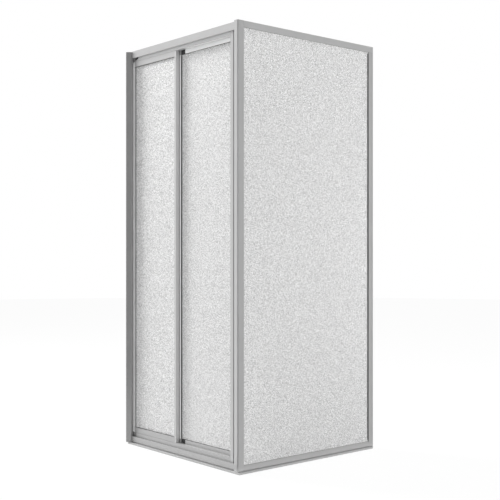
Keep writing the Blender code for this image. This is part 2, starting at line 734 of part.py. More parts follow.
def header_outline():
    ceiling_z = HEADER_TOP_Z - TRACK_WALL
    divider_z = HEADER_BAND_Z + DIVIDER_TUCK
    outline = rounded([
        (FASCIA_SETBACK, FASCIA_Z, EDGE_RADIUS), (FASCIA_SETBACK, HEADER_TOP_Z, EDGE_RADIUS),
        (TRACK_BACK_N, HEADER_TOP_Z, EDGE_RADIUS), (TRACK_BACK_N, HEADER_BAND_Z, EDGE_RADIUS / 2),
        (TRACK_INNER_N, HEADER_BAND_Z, 0), (TRACK_INNER_N, LEDGE_Z, 0), (ROLLER_FRONT_N, LEDGE_Z, 0),
        (ROLLER_FRONT_N, LEDGE_TOP_Z, 0),
    ])
    outline += arc(BEAD_N, LEDGE_TOP_Z, BEAD_RADIUS, 180, 0, 2 * CORNER_STEPS)
    outline += rounded([
        (TRACK_INNER_N, LEDGE_TOP_Z, 0), (TRACK_INNER_N, ceiling_z, 0), (DIVIDER_BACK_N, ceiling_z, 0),
        (DIVIDER_BACK_N, divider_z, 0), (DIVIDER_N, divider_z, 0), (DIVIDER_N, ceiling_z, 0),
        (FASCIA_SETBACK + TRACK_WALL, ceiling_z, 0),
        (FASCIA_SETBACK + TRACK_WALL, FASCIA_Z + TRACK_WALL, 0),
        (BAND_N + TRACK_WALL, FASCIA_Z + TRACK_WALL, 0),
        (BAND_N + TRACK_WALL, HEADER_BAND_Z, EDGE_RADIUS), (BAND_N, HEADER_BAND_Z, EDGE_RADIUS),
        (BAND_N, FASCIA_Z, 0),
    ])
    return outline


def sill_outline():
    floor_z = SILL_FACE_Z - TRACK_WALL
    outline = rounded([
        (FASCIA_SETBACK, BASE_Z, EDGE_RADIUS), (FASCIA_SETBACK, SILL_FACE_Z, EDGE_RADIUS),
        (BAND_N, SILL_FACE_Z, 0), (BAND_N, SILL_BAND_Z, EDGE_RADIUS),
        (BAND_N + TRACK_WALL, SILL_BAND_Z, EDGE_RADIUS), (BAND_N + TRACK_WALL, SILL_FACE_Z, 0),
        (DIVIDER_N, SILL_FACE_Z, 0), (DIVIDER_N, SILL_GUARD_Z, 0), (DIVIDER_BACK_N, SILL_GUARD_Z, 0),
        (DIVIDER_BACK_N, SILL_FACE_Z, 0),
    ])
    outline += arc(BEAD_N, SILL_FACE_Z, BEAD_RADIUS, 180, 0, 2 * CORNER_STEPS)
    outline += rounded([
        (TRACK_INNER_N, SILL_FACE_Z, 0), (TRACK_INNER_N, SILL_GUARD_Z, 0),
        (TRACK_BACK_N, SILL_GUARD_Z, EDGE_RADIUS), (TRACK_BACK_N, 0, 0),
        (TRACK_BACK_N - SILL_REAR_FOOT, 0, 0), (TRACK_BACK_N - SILL_REAR_FOOT, TRACK_WALL, 0),
        (TRACK_INNER_N, TRACK_WALL, 0), (TRACK_INNER_N, floor_z, 0),
        (FASCIA_SETBACK + TRACK_WALL, floor_z, 0), (FASCIA_SETBACK + TRACK_WALL, BASE_Z + TRACK_WALL, 0),
        (FASCIA_SETBACK + SILL_FRONT_FOOT, BASE_Z + TRACK_WALL, 0),
        (FASCIA_SETBACK + SILL_FRONT_FOOT, BASE_Z, 0),
    ])
    return outline


def cut_for_jambs(track, corner_low_z, corner_high_z):
    """Takes the band and the divider away for the corner jamb between the two heights, and all
    that is behind the face for the wall jamb, which stands past both tracks."""
    corner = cutting(
        block, f"corner jamb notch of {track.name}",
        (TRACK_START_T - CUT_MARGIN, BAND_N - SEAT_GAP, corner_low_z),
        (CORNER_JAMB_T + SEAT_GAP, DIVIDER_BACK_N + SEAT_GAP, corner_high_z),
    )
    wall = cutting(
        block, f"wall jamb notch of {track.name}",
        (WALL_JAMB_T - SEAT_GAP, BAND_N - SEAT_GAP, -CUT_MARGIN),
        (TRACK_END_T + CUT_MARGIN, TRACK_BACK_N + CUT_MARGIN, HEIGHT),
    )
    cut(track, corner, wall)


def make_header_track():
    track = as_mesh(door_bar(
        "header_track", [header_outline()], TRACK_START_T, TRACK_END_T, ALUMINIUM
    ))
    cut_for_jambs(track, HEADER_BAND_Z - CUT_MARGIN, FASCIA_Z + JAMB_SEAT_DEPTH)
    # The band under the fascia ends on a slant just before the wall jamb.
    foot_t = WALL_JAMB_T - BAND_END_GAP
    top_z = FASCIA_Z + TRACK_WALL / 2
    slant = [
        (foot_t, HEADER_BAND_Z), (foot_t - BAND_END_SLANT, top_z), (TRACK_END_T, top_z),
        (TRACK_END_T, HEADER_BAND_Z - CUT_MARGIN), (foot_t, HEADER_BAND_Z - CUT_MARGIN),
    ]
    waste = cutting(
        front_plate, "slanted band end", slant, BAND_N - TRACK_WALL, BAND_N + 2 * TRACK_WALL
    )
    cut(track, waste)


def make_sill_track():
    track = as_mesh(door_bar("sill_track", [sill_outline()], TRACK_START_T, TRACK_END_T, ALUMINIUM))
    cut_for_jambs(track, SILL_FACE_Z - JAMB_SEAT_DEPTH, SILL_BAND_Z + CUT_MARGIN)
    band_end_t = WALL_JAMB_T - SILL_BAND_END_GAP
    waste = cutting(
        block, "square band end", (band_end_t, BAND_N - CUT_MARGIN, SILL_FACE_Z + SEAT_GAP),
        (TRACK_END_T + CUT_MARGIN, BAND_N + TRACK_WALL + CUT_MARGIN, SILL_BAND_Z + CUT_MARGIN),
    )
    cut(track, waste)
    # Slots at the foot of the inner wall let water run back to the tray.
    first_t = CORNER_JAMB_T
    pitch = (WALL_JAMB_T - first_t) / DRAIN_COUNT
    slots = []
    for number in range(DRAIN_COUNT):
        middle_t = first_t + pitch * (number + 1 / 2)
        slots.append(cutting(
            block, f"drain slot {number + 1}",
            (middle_t - DRAIN_LENGTH / 2, TRACK_INNER_N - CUT_MARGIN / 2, SILL_FACE_Z + SEAT_GAP),
            (middle_t + DRAIN_LENGTH / 2, TRACK_BACK_N + CUT_MARGIN,
             SILL_FACE_Z + SEAT_GAP + DRAIN_HEIGHT),
        ))
    cut(track, gathered("drain slots", slots))


def make_cover_strips():
    """Snap-in strips that close the channel of the fixed pane beside the sliding leaf."""
    front_n = BAND_N + TRACK_WALL + SEAT_GAP
    rear_n = DIVIDER_N - SEAT_GAP
    for name, edge_z, leg, into in (
        ("header_cover_strip", HEADER_BAND_Z, HEADER_COVER_LEG, 1),
        ("sill_cover_strip", SILL_BAND_Z, SILL_BAND_HEIGHT - SEAT_GAP, -1),
    ):
        outline = [
            (front_n, 0), (DIVIDER_BACK_N, 0), (DIVIDER_BACK_N, COVER_WALL), (rear_n, COVER_WALL),
            (rear_n, leg), (rear_n - COVER_WALL, leg), (rear_n - COVER_WALL, COVER_WALL),
            (front_n + COVER_WALL, COVER_WALL), (front_n + COVER_WALL, leg), (front_n, leg),
        ]
        outlines = placed([outline], lambda u, v: (u, edge_z + into * v))
        door_bar(
            name, outlines, CORNER_JAMB_T + SEAT_GAP, FIXED_RAIL_START_T - SEAT_GAP, ALUMINIUM
        )


# Fixed pane: two rails tongued into the tracks, a centre stile and the wall jamb round the glass

def tongued_rail(name, height, edge_z, up):
    """A rail with a tongue into the track. up is 1 for the top rail and -1 for the bottom one."""
    tongue = RAIL_TONGUE_INSET
    lip = FIXED_GLASS_RECESS - GASKET_SEAT
    back_lip = lip + GROOVE_WIDTH
    depth = FIXED_FRAME_DEPTH
    tip = height + RAIL_TONGUE_HEIGHT
    outer = rounded([
        (0, 0, EDGE_RADIUS), (lip, 0, 0), (lip, GROOVE_DEPTH, 0), (back_lip, GROOVE_DEPTH, 0),
        (back_lip, 0, 0), (depth, 0, EDGE_RADIUS), (depth, height, EDGE_RADIUS),
        (depth - tongue, height, 0), (depth - tongue, tip, EDGE_RADIUS), (tongue, tip, EDGE_RADIUS),
        (tongue, height, 0), (0, height, 2 * EDGE_RADIUS),
    ])
    chamber = rectangle(
        tongue + PROFILE_WALL, GROOVE_DEPTH + PROFILE_WALL, depth - tongue - PROFILE_WALL,
        tip - PROFILE_WALL,
    )
    outlines = placed([outer, chamber], lambda u, v: (BAND_N + u, edge_z + up * v))
    door_bar(name, outlines, FIXED_RAIL_START_T, FIXED_RAIL_END_T, ALUMINIUM)


def make_fixed_pane():
    low_z = SILL_BAND_Z + SEAT_GAP + FIXED_BOTTOM_RAIL_HEIGHT
    high_z = HEADER_BAND_Z - SEAT_GAP - FIXED_TOP_RAIL_HEIGHT
    tongued_rail("fixed_top_rail", FIXED_TOP_RAIL_HEIGHT, high_z, 1)
    tongued_rail("fixed_bottom_rail", FIXED_BOTTOM_RAIL_HEIGHT, low_z, -1)
    stile = glazing_bar(FIXED_FRAME_DEPTH, CENTRE_STILE_WIDTH, FIXED_GLASS_RECESS, chambered=False)
    pane_edge_t = CENTRE_STILE_T + CENTRE_STILE_WIDTH
    upright(
        "fixed_centre_stile", placed(stile, lambda u, v: (pane_edge_t - v, BAND_N + u)),
        SILL_BAND_Z + SEAT_GAP, HEADER_BAND_Z - SEAT_GAP, ALUMINIUM,
    )
    make_pane(
        ("fixed_glass", "fixed_gasket"), "t", BAND_N + FIXED_GLASS_RECESS, pane_edge_t, WALL_JAMB_T,
        low_z, high_z,
    )
    brush_t = CENTRE_STILE_T + EDGE_RADIUS + SEAT_GAP
    block(
        "overlap_brush", (brush_t, FIXED_BACK_N + SEAT_GAP, LEAF_BOTTOM_Z + LEAF_BOTTOM_RAIL_HEIGHT),
        (brush_t + BRUSH_WIDTH, LEAF_N - SEAT_GAP, LEAF_TOP_Z - LEAF_TOP_RAIL_HEIGHT), BRUSH,
    )


# Sliding leaf: two full height stiles, two rails between the corner carriers, and the glass

def make_leaf_frame(slider):
    low_z = LEAF_BOTTOM_Z + LEAF_BOTTOM_RAIL_HEIGHT
    high_z = LEAF_TOP_Z - LEAF_TOP_RAIL_HEIGHT
    stile = glazing_bar(LEAF_DEPTH, LEAF_STILE_WIDTH, LEAF_GLASS_RECESS)
    rear_edge_t = LEAF_TRAIL_T - LEAF_STILE_WIDTH
    pieces = [
        upright(
            "leaf_front_stile", placed(stile, lambda u, v: (FRONT_CARRIER_T - v, LEAF_N + u)),
            LEAF_BOTTOM_Z, LEAF_TOP_Z, ALUMINIUM,
        ),
        upright(
            "leaf_rear_stile", placed(stile, lambda u, v: (rear_edge_t + v, LEAF_N + u)),
            LEAF_BOTTOM_Z, LEAF_TOP_Z, ALUMINIUM,
        ),
    ]
    start_t = FRONT_CARRIER_T + CARRIER_WIDTH
    for name, height, edge_z, up in (
        ("leaf_top_rail", LEAF_TOP_RAIL_HEIGHT, high_z, 1),
        ("leaf_bottom_rail", LEAF_BOTTOM_RAIL_HEIGHT, low_z, -1),
    ):
        rail = glazing_bar(LEAF_DEPTH, height, LEAF_GLASS_RECESS)
        outlines = placed(rail, lambda u, v: (LEAF_N + u, edge_z + up * v))
        pieces.append(door_bar(name, outlines, start_t, REAR_CARRIER_T, ALUMINIUM))
    pieces += make_pane(
        ("leaf_glass", "leaf_gasket"), "t", LEAF_N + LEAF_GLASS_RECESS, FRONT_CARRIER_T, rear_edge_t,
        low_z, high_z,
    )
    for piece in pieces:
        attach(piece, slider)


def attach(piece, carrier):
    """Makes a piece follow the empty or object that carries it, where it stands."""
    bpy.context.view_layer.update()
    piece.parent = carrier
    piece.matrix_parent_inverse = carrier.matrix_world.inverted()


def make_carrier(end, level, slider):
    """One corner block with its rail tongue and axle arm, its axle and its roller."""
    up = 1 if level == "top" else -1
    rear = end == "rear"
    block_t = (REAR_CARRIER_T if rear else FRONT_CARRIER_T) + SEAT_GAP
    block_end_t = block_t + CARRIER_WIDTH - 2 * SEAT_GAP
    height = LEAF_TOP_RAIL_HEIGHT if up > 0 else LEAF_BOTTOM_RAIL_HEIGHT
    outer_z = LEAF_TOP_Z if up > 0 else LEAF_BOTTOM_Z
    edge_z = outer_z - up * height
    axle_z = ROLLER_Z if up > 0 else GUIDE_ROLLER_Z
    axle_t = (block_t + block_end_t) / 2
    name = f"{level}_carrier_{end}"

    section = glazing_bar(
        LEAF_DEPTH - 2 * SEAT_GAP, height, LEAF_GLASS_RECESS - SEAT_GAP, chambered=False
    )
    outlines = placed(section, lambda u, v: (LEAF_N + SEAT_GAP + u, edge_z + up * v))
    carrier = as_mesh(door_bar(name, outlines, block_t, block_end_t, BLACK_PLASTIC))

    (low_u, low_v), _, (high_u, high_v), _ = bar_chamber(LEAF_DEPTH, height)
    rail_t = block_t if rear else block_end_t
    reach = CARRIER_TONGUE if not rear else -CARRIER_TONGUE
    root = -CARRIER_WIDTH / 3 if not rear else CARRIER_WIDTH / 3
    tongue_z = sorted((edge_z + up * (low_v + SEAT_GAP), edge_z + up * (high_v - SEAT_GAP)))
    tongue = cutting(
        block, f"tongue of {name}",
        (rail_t + root, LEAF_N + low_u + SEAT_GAP, tongue_z[0]),
        (rail_t + reach, LEAF_N + high_u - SEAT_GAP, tongue_z[1]),
    )
    arm_n = LEAF_N + CARRIER_ARM_INSET
    arm_end_n = ROLLER_FRONT_N - SEAT_GAP
    arm = cutting(
        front_plate, f"arm of {name}",
        arm_outline(block_t, block_end_t, axle_t, axle_z, outer_z, up), arm_n, arm_end_n,
    )
    hole = cutting(
        cylinder, f"axle hole of {name}", AXLE_RADIUS + AXLE_CLEARANCE,
        arm_n - arm_end_n - CUT_MARGIN, CUT_MARGIN,
    )
    point_inwards(hole, axle_t, arm_end_n, axle_z)
    join(carrier, tongue, arm)
    cut(carrier, hole)
    attach(carrier, slider)

    axle = turned(
        f"{level}_axle_{end}", [
            (0, AXLE_HEAD_THICKNESS), (AXLE_HEAD_RADIUS, AXLE_HEAD_THICKNESS), (AXLE_HEAD_RADIUS, 0),
            (AXLE_RADIUS, 0), (AXLE_RADIUS, arm_n - ROLLER_BACK_N - SEAT_GAP),
            (0, arm_n - ROLLER_BACK_N - SEAT_GAP),
        ], False, STEEL,
    )
    point_inwards(axle, axle_t, ROLLER_BACK_N + SEAT_GAP, axle_z)
    attach(axle, slider)

    radius = ROLLER_RADIUS if up > 0 else GUIDE_ROLLER_RADIUS
    roller = turned(f"{level}_roller_{end}", roller_profile(radius), True, GREY_PLASTIC)
    point_inwards(roller, axle_t, (ROLLER_FRONT_N + ROLLER_BACK_N) / 2, axle_z)
    attach(roller, slider)


def arm_outline(start_t, end_t, axle_t, axle_z, outer_z, up):
    """A plate with a round end about the axle, rooted in the block."""
    half = (end_t - start_t) / 2 - CARRIER_ARM_MARGIN
    root_z = outer_z - up * CARRIER_ARM_MARGIN
    crown = arc(axle_t, axle_z, CARRIER_ARM_RADIUS, 0, 180 * up, 2 * CORNER_STEPS)
    return [(axle_t - half, root_z), (axle_t + half, root_z), *crown]


def roller_profile(radius):
    """Half section of a grooved roller as a closed ring, down its outer side and up its bore."""
    half = ROLLER_WIDTH / 2
    flange = radius + BEAD_RADIUS
    bore = AXLE_RADIUS + AXLE_CLEARANCE
    return [
        (flange, half), (flange, ROLLER_GROOVE_MOUTH / 2), (radius, ROLLER_GROOVE_FLOOR / 2),
        (radius, -ROLLER_GROOVE_FLOOR / 2), (flange, -ROLLER_GROOVE_MOUTH / 2), (flange, -half),
        (bore, -half), (bore, half),
    ]


# Seals and stops

def make_closing_seals(slider):
    middle_n = (LEAF_N + LEAF_BACK_N) / 2
    low_n = middle_n - CLOSING_SEAL_WIDTH / 2
    high_n = middle_n + CLOSING_SEAL_WIDTH / 2
    seal_t = TRACK_START_T
    magnet_t = seal_t + CLOSING_SEAL_DEPTH + SEAT_GAP
    low_z = LEAF_BOTTOM_Z + LEAF_BOTTOM_RAIL_HEIGHT
    high_z = LEAF_TOP_Z - LEAF_TOP_RAIL_HEIGHT
    block(
        "closing_seal", (seal_t, low_n, low_z), (seal_t + CLOSING_SEAL_DEPTH, high_n, high_z),
        GREY_PLASTIC,
    )
    magnet = block(
        "leaf_magnet_strip", (magnet_t, low_n, low_z),
        (magnet_t + LEAF_MAGNET_DEPTH, high_n, high_z), GREY_PLASTIC,
    )
    attach(magnet, slider)


def make_buffers():
    web_t = WALL_JAMB_BACK_T - PROFILE_WALL
    for level, z in (("top", LEAF_TOP_Z - BUFFER_INSET), ("bottom", LEAF_BOTTOM_Z + BUFFER_INSET)):
        buffer = turned(
            f"{level}_buffer", [
                (0, BUFFER_DEPTH), (BUFFER_RADIUS - EDGE_RADIUS, BUFFER_DEPTH),
                (BUFFER_RADIUS, BUFFER_DEPTH - EDGE_RADIUS), (BUFFER_RADIUS, 0), (0, 0),
            ], False, RUBBER,
        )
        point_along_t(buffer, web_t - SEAT_GAP, (LEAF_N + LEAF_BACK_N) / 2, z, towards_wall=False)


# Screws: pan heads that lock the frames in their wall profiles, and two that close the nose

def screw_profile(head_radius, head_height, grip):
    crown = arc(0, 0, head_height, 90, 0, 2 * CORNER_STEPS)
    dome = [(u * head_radius / head_height, v) for u, v in crown[:-1]]
    return [*dome, (head_radius, 0), (SCREW_SHANK_RADIUS, 0), (SCREW_SHANK_RADIUS, -grip), (0, -grip)]


def screw_heights(low_z, high_z):
    return (
        ("low", low_z + SCREW_END_INSET), ("middle", (low_z + high_z) / 2),
        ("high", high_z - SCREW_END_INSET),
    )


def make_side_screws(channel, stile):
    """Screws through the channel's inner flange into the stile's tongue."""
    middle_n = SIDE_CHANNEL_N + STILE_TONGUE / 2
    grip = WALL_CHANNEL_WALL + SEAT_GAP + PROFILE_WALL
    holes = []
    for level, z in screw_heights(BASE_Z, HEIGHT - SIDE_TOP_RAIL_HEIGHT):
        hole = cutting(
            cylinder, f"side screw hole {level}", SCREW_SHANK_RADIUS + SCREW_CLEARANCE,
            -grip - CUT_MARGIN / 2, CUT_MARGIN,
        )
        point_along_t(hole, SIDE_FRAME_DEPTH, middle_n, z, towards_wall=True)
        holes.append(hole)
        screw = turned(
            f"side_channel_screw_{level}",
            screw_profile(SCREW_HEAD_RADIUS, SCREW_HEAD_HEIGHT, grip), False, STEEL,
        )
        point_along_t(screw, SIDE_FRAME_DEPTH + SEAT_GAP, middle_n, z, towards_wall=True)
    drill = gathered("side screw holes", holes)
    cut(channel, drill)
    cut(stile, drill)


def make_door_screws(profile, jamb):
    """Screws through the wall profile's rear flange into the jamb."""
    flange_back_n = JAMB_BACK_N + SEAT_GAP + PROFILE_WALL
    middle_t = DOOR_LENGTH - PROFILE_WALL - WALL_PROFILE_FLANGE / 2
    grip = 2 * PROFILE_WALL + SEAT_GAP
    holes = []
    for level, z in screw_heights(BASE_Z, HEADER_TOP_Z):
        hole = cutting(
            cylinder, f"door screw hole {level}", SCREW_SHANK_RADIUS + SCREW_CLEARANCE,
            -grip - CUT_MARGIN, CUT_MARGIN,
        )
        point_inwards(hole, middle_t, flange_back_n, z)
        holes.append(hole)
        screw = turned(
            f"door_profile_screw_{level}",
            screw_profile(SCREW_HEAD_RADIUS, SCREW_HEAD_HEIGHT, grip), False, STEEL,
        )
        point_inwards(screw, middle_t, flange_back_n + SEAT_GAP, z)
    drill = gathered("door screw holes", holes)
    cut(profile, drill)
    cut(jamb, drill)


def make_nose_screws(profile):
    """Two screws in the nose's side, just clear of the two tracks' faces, that close its ends."""
    middle_n = (FASCIA_SETBACK + BAND_N - NOSE_SHADOW_GAP) / 2
    holes = []
    for level, z in (
        ("top", FASCIA_Z - NOSE_SCREW_OFFSET), ("bottom", SILL_FACE_Z + NOSE_SCREW_OFFSET),
    ):
        hole = cutting(
            cylinder, f"nose screw hole {level}", SCREW_SHANK_RADIUS + SCREW_CLEARANCE,
            -NOSE_SCREW_DEPTH - CUT_MARGIN, CUT_MARGIN,
        )
        point_along_t(hole, NOSE_T, middle_n, z, towards_wall=False)
        holes.append(hole)
        screw = turned(
            f"nose_screw_{level}",
            screw_profile(NOSE_SCREW_HEAD_RADIUS, SCREW_HEAD_HEIGHT / 2, NOSE_SCREW_DEPTH), False, STEEL,
        )
        point_along_t(screw, NOSE_T - SEAT_GAP, middle_n, z, towards_wall=False)
    cut(profile, gathered("nose screw holes", holes))


# Assembly

make_base_strips()
make_corner_post()
side_stile = make_side_frame()
side_channel = make_side_wall_channel()
make_pane(("side_glass", "side_gasket"), "n", SIDE_GLASS_RECESS, *side_frame_edges())
wall_profile = make_door_wall_profile()
wall_jamb = make_wall_jamb()
make_corner_jamb()
make_header_track()
make_sill_track()
make_cover_strips()
make_fixed_pane()

leaf_slider = bpy.data.objects.new("sliding_leaf_axis", None)
leaf_slider.location = (
    SIDE_FACE_X - (LEAF_LEAD_T + LEAF_TRAIL_T) / 2, POST_FRONT_Y + (LEAF_N + LEAF_BACK_N) / 2, ROLLER_Z
)
PARTS.objects.link(leaf_slider)
make_leaf_frame(leaf_slider)
for carrier_end in ("front", "rear"):
    for carrier_level in ("top", "bottom"):
        make_carrier(carrier_end, carrier_level, leaf_slider)
make_closing_seals(leaf_slider)
make_buffers()
make_side_screws(side_channel, side_stile)
make_door_screws(wall_profile, wall_jamb)
make_nose_screws(wall_profile)

for solid in PARTS.objects:
    if solid.type == "MESH":
        solid.data.shade_smooth()
        solid.data.set_sharp_from_angle(angle=math.radians(30))
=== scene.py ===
import math

import bmesh
import bpy
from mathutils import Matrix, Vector


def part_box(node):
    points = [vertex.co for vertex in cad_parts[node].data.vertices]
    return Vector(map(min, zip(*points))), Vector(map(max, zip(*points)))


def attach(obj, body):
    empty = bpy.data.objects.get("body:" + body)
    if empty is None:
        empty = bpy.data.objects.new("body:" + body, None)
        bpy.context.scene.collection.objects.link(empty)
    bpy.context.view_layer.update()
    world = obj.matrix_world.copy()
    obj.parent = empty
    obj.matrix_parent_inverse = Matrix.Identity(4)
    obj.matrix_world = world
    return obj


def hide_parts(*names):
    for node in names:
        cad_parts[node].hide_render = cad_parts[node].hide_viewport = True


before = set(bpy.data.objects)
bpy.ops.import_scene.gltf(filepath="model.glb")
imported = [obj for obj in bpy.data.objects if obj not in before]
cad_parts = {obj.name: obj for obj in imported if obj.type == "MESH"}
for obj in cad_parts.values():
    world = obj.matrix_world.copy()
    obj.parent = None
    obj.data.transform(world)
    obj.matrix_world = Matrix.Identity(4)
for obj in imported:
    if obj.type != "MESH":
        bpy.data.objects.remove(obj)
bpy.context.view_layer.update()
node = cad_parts


# The camera stands a little below half the enclosure's height, level, opposite its corner post.
# Its lens and shift are those that the photograph's two vanishing directions give.

LENS_MM = 67.395
SENSOR_MM = 36.0
LENS_SHIFT = 0.0022
CAMERA_PLACE = (3.328, -2.820, 0.908)
CAMERA_FACES = (-0.7624, 0.6471, 0)

lens = bpy.data.cameras.new("Camera")
lens.lens = LENS_MM
lens.sensor_width = SENSOR_MM
lens.shift_y = LENS_SHIFT
camera = bpy.data.objects.new("Camera", lens)
bpy.context.scene.collection.objects.link(camera)
camera.location = CAMERA_PLACE
camera.rotation_euler = Vector(CAMERA_FACES).to_track_quat("-Z", "Y").to_euler()
bpy.context.scene.camera = camera
bpy.context.scene.view_settings.view_transform = "Standard"


# The studio: one seamless white surround, which is the floor and the world in one colour. The
# floor still takes a little of the enclosure's shadow.

WHITE_AS_SEEN = 1.0
WHITE_AS_LIGHT = 0.31
FLOOR_GLOW_SHARE = 0.96
FLOOR_RADIUS = 14


def linear(hexed):
    """A hex colour, as it shows on a screen, in the linear values that the shaders take."""
    parts = [int(hexed[place:place + 2], 16) / 255 for place in (0, 2, 4)]
    return [p / 12.92 if p <= 0.04045 else ((p + 0.055) / 1.055) ** 2.4 for p in parts] + [1.0]


def add(material, kind, links=(), values=(), **settings):
    """Adds a shader node with its settings and socket values, and links others' outputs to it."""
    made = material.node_tree.nodes.new(kind)
    for name, value in settings.items():
        if hasattr(made, name):
            setattr(made, name, value)
        else:
            made.inputs[name.replace("_", " ")].default_value = value
    for socket, value in values:
        made.inputs[socket].default_value = value
    for socket, source in links:
        material.node_tree.links.new(source, made.inputs[socket])
    return made


def seen_rays(owner):
    """1 for the rays that look straight at the surround, off a metal or through a pane."""
    path = add(owner, "ShaderNodeLightPath")
    first = add(owner, "ShaderNodeMath", operation="MAXIMUM", links=[
        (0, path.outputs["Is Camera Ray"]), (1, path.outputs["Is Glossy Ray"])])
    return add(owner, "ShaderNodeMath", operation="MAXIMUM", links=[
        (0, first.outputs[0]), (1, path.outputs["Is Transmission Ray"])])


def new_material(name):
    made = bpy.data.materials.new(name)
    made.use_nodes = True
    return made


world = bpy.data.worlds.new("White studio")
bpy.context.scene.world = world
world.use_nodes = True
world.node_tree.nodes.clear()
dim = add(world, "ShaderNodeBackground", Color=linear("FFFFFF"), Strength=WHITE_AS_LIGHT)
white = add(world, "ShaderNodeBackground", Color=linear("FFFFFF"), Strength=WHITE_AS_SEEN)
both = add(world, "ShaderNodeMixShader", links=[
    (0, seen_rays(world).outputs[0]), (1, dim.outputs[0]), (2, white.outputs[0])])
add(world, "ShaderNodeOutputWorld", links=[(0, both.outputs[0])])

floor_paint = new_material("White floor")
floor_paint.node_tree.nodes.clear()
matt = add(floor_paint, "ShaderNodeBsdfDiffuse", Color=linear("F4F4F4"))
glow = add(floor_paint, "ShaderNodeEmission", Color=linear("FFFFFF"), Strength=WHITE_AS_SEEN)
share = add(
    floor_paint, "ShaderNodeMath", operation="MULTIPLY", values=[(1, FLOOR_GLOW_SHARE)],
    links=[(0, seen_rays(floor_paint).outputs[0])],
)
mixed = add(floor_paint, "ShaderNodeMixShader", links=[
    (0, share.outputs[0]), (1, matt.outputs[0]), (2, glow.outputs[0])])
add(floor_paint, "ShaderNodeOutputMaterial", links=[(0, mixed.outputs[0])])

bpy.ops.object.select_all(action="DESELECT")
bpy.ops.mesh.primitive_circle_add(
    vertices=64, radius=FLOOR_RADIUS, fill_type="NGON", location=(0, 0, 0),
)
floor = bpy.context.object
floor.name = "floor"
floor.data.materials.append(floor_paint)


# Lights: a softbox to the left of the door, which grazes it, one beyond the side panel, one
# overhead and one over the camera. Four grey flags, two upright and two on the floor, are seen
# only in reflections. They stand for the dark room, so that the metal isn't white all over.

def softbox(name, place, aim, size, watts):
    lamp = bpy.data.lights.new(name, "AREA")
    lamp.shape = "RECTANGLE"
    lamp.size, lamp.size_y = size
    lamp.energy = watts
    holder = bpy.data.objects.new(name, lamp)
    bpy.context.scene.collection.objects.link(holder)
    holder.location = place
    holder.rotation_euler = (Vector(aim) - Vector(place)).to_track_quat("-Z", "Y").to_euler()
    holder.visible_glossy = False


def flag(name, place, aim, size, brightness):
    paint = new_material(name)
    paint.node_tree.nodes.clear()
    dull = add(paint, "ShaderNodeEmission", Color=linear("FFFFFF"), Strength=brightness)
    add(paint, "ShaderNodeOutputMaterial", links=[(0, dull.outputs[0])])
    bpy.ops.object.select_all(action="DESELECT")
    bpy.ops.mesh.primitive_plane_add(size=1)
    card = bpy.context.object
    card.name = name
    card.data.materials.append(paint)
    card.scale = (*size, 1)
    card.location = place
    card.rotation_euler = (Vector(aim) - Vector(place)).to_track_quat("Z", "Y").to_euler()
    for ray in ("camera", "diffuse", "transmission", "volume_scatter", "shadow"):
        setattr(card, "visible_" + ray, False)


NEARLY_BLACK = 0.04
MID_GREY = 0.56

softbox("Door side light", (-4.4, -1.9, 4.4), aim=(0, -0.3, 1.2), size=(1.4, 1.4), watts=490)
softbox("Side panel light", (2.0, 4.0, 1.0), aim=(0.3, 0, 0.95), size=(1.6, 2.4), watts=185)
softbox("Overhead light", (1.6, -1.6, 4.4), aim=(0.2, -0.2, 0.9), size=(2.0, 2.0), watts=50)
softbox("Camera side light", (4.2, -3.4, 2.0), aim=(0, 0, 0.95), size=(2.0, 2.0), watts=80)
flag("camera_side_flag", (3.9, -3.3, 1.6), (0, 0, 1), (8.5, 9.0), NEARLY_BLACK)
flag("side_panel_flag", (4.2, 3.4, 1.6), (0.4, 0, 1), (6.0, 9.0), MID_GREY)
flag("floor_camera_flag", (2.0, -2.15, 0.003), (2.0, -2.15, 1), (3.4, 3.4), NEARLY_BLACK)
flag("floor_side_flag", (3.4, 2.0, 0.003), (3.4, 2.0, 1), (5.9, 4.8), MID_GREY)


# Uprights: aluminium extrusions, satin anodised, cut square and screwed or pressed together. The
# die leaves faint lines along each bar, and the anodising gives a soft, even, slightly cloudy
# sheen. Each bar's tone is fitted to the photograph, so it stands in part for the light there.

ACROSS, INWARD, UPRIGHT = 0, 1, 2
# Die lines lie about 0.4 mm apart and are drawn as streaks 3 mm wide, so that they show.
STREAK_MM = 3.03
STREAK_SHRINK_ALONG = 0.01
STREAK_SHARE = 0.8
CLOUD_MM = 62.5


def dress(material, colour, rough, relief):
    """Brings a finish's colour, roughness and relief to its shader."""
    shader = material.node_tree.nodes["Principled BSDF"]
    for socket, source in (
        ("Base Color", colour.outputs[2]), ("Roughness", rough.outputs[0]),
        ("Normal", relief.outputs[0]),
    ):
        material.node_tree.links.new(source, shader.inputs[socket])
    return shader


